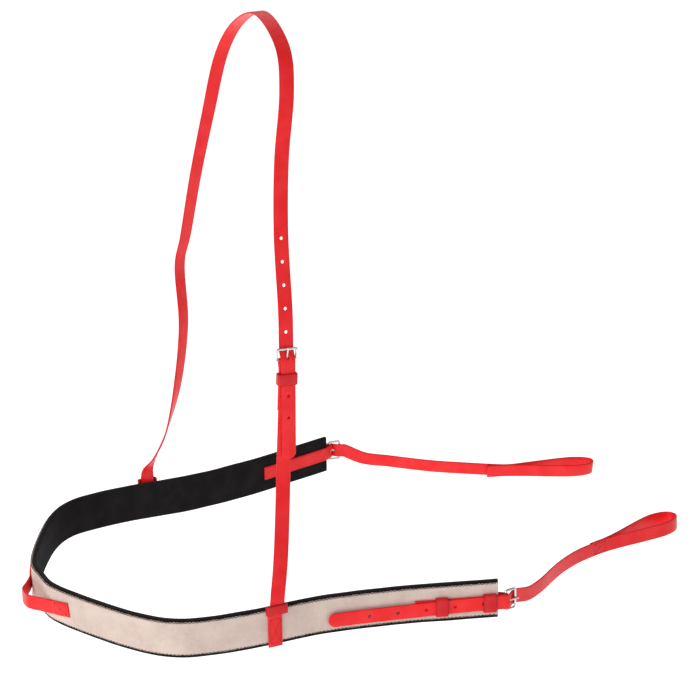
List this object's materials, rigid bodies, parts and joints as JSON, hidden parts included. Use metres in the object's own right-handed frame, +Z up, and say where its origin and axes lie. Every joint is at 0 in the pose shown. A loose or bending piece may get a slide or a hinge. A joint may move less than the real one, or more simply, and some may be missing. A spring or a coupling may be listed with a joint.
{
  "type": "racing breastplate",
  "caption": "Horse racing breastplate: padded chest band with a buckled neck strap, a buckled girth strap with an end loop on each side, and a small loop at the front.",
  "frame": {"origin": "the middle of the lining's face at the front of the chest band, where the band bears on the horse's chest", "axes": "+X rearwards to the girth, +Y to the horse's right side, +Z up along the neck strap"},
  "size_m": [0.8426, 0.5354, 0.7083],
  "materials": {
    "facing": "tan felted web, matt",
    "lining": "black neoprene with a knit face, matt",
    "strap": "smooth red strap, semi-gloss",
    "keeper": "smooth dark red strap, semi-gloss",
    "buckle": "polished plated steel"
  },
  "bodies": {
    "band": {"band_facing": "facing", "band_lining": "lining", "front_loop_strap": "strap", "left_neck_anchor": "strap", "right_neck_anchor": "strap", "left_band_keeper": "keeper", "right_band_keeper": "keeper", "left_chape": "strap", "right_chape": "strap", "left_buckle_keeper": "keeper", "right_buckle_keeper": "keeper", "left_tail_keeper": "keeper", "right_tail_keeper": "keeper", "left_girth_tail": "strap", "right_girth_tail": "strap"},
    "neck": {"neck_strap": "strap", "neck_buckle_strap": "strap", "neck_buckle_frame": "buckle", "neck_keeper": "keeper"},
    "neck_tongue": {"neck_buckle_tongue": "buckle"},
    "left_girth": {"left_girth_strap": "strap", "left_buckle_frame": "buckle"},
    "left_tongue": {"left_buckle_tongue": "buckle"},
    "right_girth": {"right_girth_strap": "strap", "right_buckle_frame": "buckle"},
    "right_tongue": {"right_buckle_tongue": "buckle"}
  },
  "joints": [
    {"name": "neck_tilt", "type": "hinge", "parent": "band", "child": "neck", "pos_m": [0.2113, 0, 0.027], "axis": [0, 1, 0], "range_deg": [-10, 10]},
    {"name": "left_girth_swing", "type": "hinge", "parent": "band", "child": "left_girth", "pos_m": [0.48956, -0.26181, -0.003], "axis": [0, 0, 1], "range_deg": [-34, 45]},
    {"name": "right_girth_swing", "type": "hinge", "parent": "band", "child": "right_girth", "pos_m": [0.48956, 0.26181, 0.001], "axis": [0, 0, 1], "range_deg": [-45, 34]},
    {"name": "left_tongue_lift", "type": "hinge", "parent": "left_girth", "child": "left_tongue", "pos_m": [0.48956, -0.26181, -0.003], "axis": [0, 0, -1], "range_deg": [0, 12]},
    {"name": "right_tongue_lift", "type": "hinge", "parent": "right_girth", "child": "right_tongue", "pos_m": [0.48956, 0.26181, 0.001], "axis": [0, 0, 1], "range_deg": [0, 12]},
    {"name": "neck_tongue_lift", "type": "hinge", "parent": "neck", "child": "neck_tongue", "pos_m": [0.2525, -0.1673, 0.3095], "axis": [0.9984, 0, -0.0558], "range_deg": [0, 12]}
  ]
}
